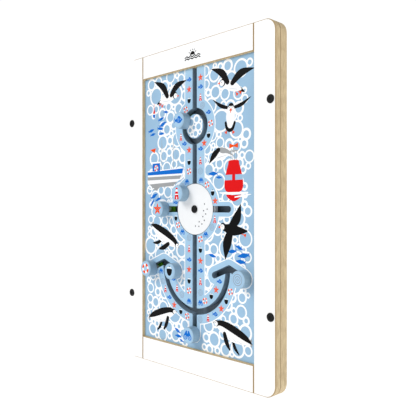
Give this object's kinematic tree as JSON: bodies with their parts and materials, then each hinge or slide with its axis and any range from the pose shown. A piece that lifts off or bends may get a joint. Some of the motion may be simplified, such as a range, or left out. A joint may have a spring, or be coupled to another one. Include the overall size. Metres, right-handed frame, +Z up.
{
  "type": "wall play panel",
  "caption": "Upright wall-mounted play panel: plywood frame round a printed board with anchor-shaped slots, sliding round knobs and a notched transfer wheel.",
  "frame": {"origin": "middle of the back face, which lies against the wall, at the centre of the four wall screw holes", "axes": "+Z up the panel, +X to the right seen from the front, +Y into the wall, so the front faces -Y"},
  "size_m": [0.535, 0.0595, 0.85],
  "materials": {
    "laminated_plywood": "white satin laminate faces over birch plywood edges",
    "panel_print": "light blue printed laminate with slate blue slot walls",
    "slate_board": "slate painted inside, raw board behind",
    "wheel_white": "white satin laminate",
    "knob_blue": "light blue satin moulding with a printed picture",
    "base_green": "green matt moulding",
    "nylon": "natural nylon",
    "black_plastic": "black satin moulding",
    "zinc_steel": "bright zinc plate",
    "beech": "raw beech"
  },
  "bodies": {
    "root": {"back_bottom_rail": "laminated_plywood", "back_left_stile": "laminated_plywood", "back_right_stile": "laminated_plywood", "back_top_rail": "laminated_plywood", "corner_dowels": "beech", "cover_screws": "zinc_steel", "frame_screws": "zinc_steel", "front_bottom_rail": "laminated_plywood", "front_left_stile": "laminated_plywood", "front_right_stile": "laminated_plywood", "front_top_rail": "laminated_plywood", "island_screw": "zinc_steel", "play_panel": "panel_print", "rear_cover": "slate_board", "ring_island": "panel_print", "wall_screw_caps": "black_plastic", "wheel_axle": "black_plastic", "wheel_axle_screw": "zinc_steel", "wheel_spacer": "nylon"},
    "wheel": {"wheel_disc": "wheel_white", "wheel_bush": "nylon", "lighthouse_bush": "nylon"},
    "lighthouse": {"lighthouse_knob": "knob_blue", "lighthouse_base": "base_green", "lighthouse_screw": "zinc_steel"},
    "fish_carriage": {"fish_bush": "nylon"},
    "fish": {"fish_knob": "knob_blue", "fish_base": "base_green", "fish_screw": "zinc_steel"},
    "star_carriage": {"star_bush": "nylon"},
    "star": {"star_knob": "knob_blue", "star_base": "base_green", "star_screw": "zinc_steel"},
    "life_ring_carriage": {"life_ring_bush": "nylon"},
    "life_ring": {"life_ring_knob": "knob_blue", "life_ring_base": "base_green", "life_ring_screw": "zinc_steel"},
    "pot_carriage": {"pot_bush": "nylon"},
    "pot": {"pot_knob": "knob_blue", "pot_base": "base_green", "pot_screw": "zinc_steel"},
    "rope_coil_carriage": {"rope_coil_bush": "nylon"},
    "rope_coil": {"rope_coil_knob": "knob_blue", "rope_coil_base": "base_green", "rope_coil_screw": "zinc_steel"},
    "binoculars_carriage": {"binoculars_bush": "nylon"},
    "binoculars": {"binoculars_knob": "knob_blue", "binoculars_base": "base_green", "binoculars_screw": "zinc_steel"}
  },
  "joints": [
    {"name": "wheel_spin", "type": "hinge", "parent": "root", "child": "wheel", "pos_m": [0, -0.034, -0.003], "axis": [0, -1, 0], "continuous": true},
    {"name": "lighthouse_turn", "type": "hinge", "parent": "wheel", "child": "lighthouse", "pos_m": [-0.04101, -0.034, 0.03801], "axis": [0, -1, 0], "continuous": true},
    {"name": "fish_orbit", "type": "hinge", "parent": "root", "child": "fish_carriage", "pos_m": [0, -0.034, 0.2095], "axis": [0, -1, 0], "continuous": true},
    {"name": "fish_turn", "type": "hinge", "parent": "fish_carriage", "child": "fish", "pos_m": [-0.03535, -0.034, 0.22598], "axis": [0, -1, 0], "continuous": true},
    {"name": "star_slide", "type": "slide", "parent": "root", "child": "star_carriage", "axis": [1, 0, 0], "range_m": [0, 0.045]},
    {"name": "star_turn", "type": "hinge", "parent": "star_carriage", "child": "star", "pos_m": [-0.1185, -0.034, -0.003], "axis": [0, -1, 0], "continuous": true},
    {"name": "life_ring_slide", "type": "slide", "parent": "root", "child": "life_ring_carriage", "axis": [0.9239, 0, 0.3827], "range_m": [0, 0.03]},
    {"name": "life_ring_turn", "type": "hinge", "parent": "life_ring_carriage", "child": "life_ring", "pos_m": [-0.17, -0.034, -0.16621], "axis": [0, -1, 0], "continuous": true},
    {"name": "pot_slide", "type": "slide", "parent": "root", "child": "pot_carriage", "axis": [-0.9239, 0, 0.3827], "range_m": [0, 0.03]},
    {"name": "pot_turn", "type": "hinge", "parent": "pot_carriage", "child": "pot", "pos_m": [-0.07, -0.034, -0.16621], "axis": [0, -1, 0], "continuous": true},
    {"name": "rope_coil_slide", "type": "slide", "parent": "root", "child": "rope_coil_carriage", "axis": [-0.9239, 0, 0.3827], "range_m": [0, 0.054]},
    {"name": "rope_coil_turn", "type": "hinge", "parent": "rope_coil_carriage", "child": "rope_coil", "pos_m": [0.17, -0.034, -0.16621], "axis": [0, -1, 0], "continuous": true},
    {"name": "binoculars_slide", "type": "slide", "parent": "root", "child": "binoculars_carriage", "axis": [0, 0, 1], "range_m": [0, 0.2465]},
    {"name": "binoculars_turn", "type": "hinge", "parent": "binoculars_carriage", "child": "binoculars", "pos_m": [0, -0.034, -0.323], "axis": [0, -1, 0], "continuous": true}
  ]
}
